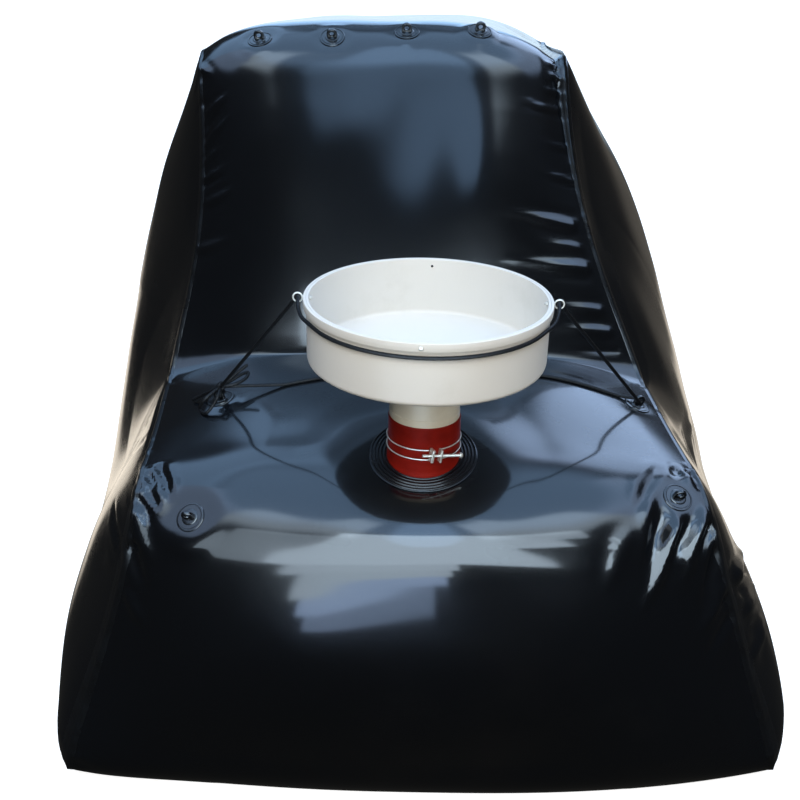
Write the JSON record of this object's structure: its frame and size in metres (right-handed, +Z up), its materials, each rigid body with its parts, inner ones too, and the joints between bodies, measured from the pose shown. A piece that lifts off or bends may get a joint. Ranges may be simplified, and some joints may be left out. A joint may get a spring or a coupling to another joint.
{
  "type": "household bag biogas digester with tray inlet",
  "caption": "Inflated chair-shaped bag digester of glossy black coated fabric, with a white round tray inlet on a pipe and clamped red sleeve, held level by a black stay cord.",
  "frame": {"origin": "on the floor, in the middle of the bag's flat underside", "axes": "+Z up, the front with the inlet faces -Y, +X to the right of someone who looks at the front"},
  "size_m": [1.3783, 2.1851, 1.1687],
  "materials": {
    "bag_fabric": "glossy coated fabric, black",
    "bag_fitting": "satin black moulded",
    "tray_plastic": "satin white",
    "pipe_plastic": "satin cream white",
    "sleeve_rubber": "satin deep red",
    "steel": "bright zinc plated",
    "cord": "black braided elastic cord"
  },
  "bodies": {
    "root": {"backrest_panel": "bag_fabric", "band_screw_front": "steel", "bow_knot": "cord", "clamp_bridge": "steel", "clamp_nut": "steel", "clamp_screw": "steel", "clamp_wire_lower": "steel", "clamp_wire_upper": "steel", "eye_hook_left": "steel", "eye_hook_right": "steel", "floor_panel": "bag_fabric", "front_lashing_patch_left": "bag_fitting", "front_lashing_patch_right": "bag_fitting", "front_panel": "bag_fabric", "hook_nut_left": "steel", "hook_nut_right": "steel", "inlet_flange": "bag_fitting", "inlet_pipe": "pipe_plastic", "inlet_sleeve": "sleeve_rubber", "left_edge_seam": "bag_fabric", "left_side_panel": "bag_fabric", "rear_panel": "bag_fabric", "right_edge_seam": "bag_fabric", "right_side_panel": "bag_fabric", "seat_panel": "bag_fabric", "stay_cord": "cord", "stay_patch_left": "bag_fitting", "stay_patch_right": "bag_fitting", "top_lashing_patch_1": "bag_fitting", "top_lashing_patch_2": "bag_fitting", "top_lashing_patch_3": "bag_fitting", "top_lashing_patch_4": "bag_fitting", "top_panel": "bag_fabric", "tray_body": "tray_plastic", "tray_rim_band": "tray_plastic"}
  },
  "joints": []
}
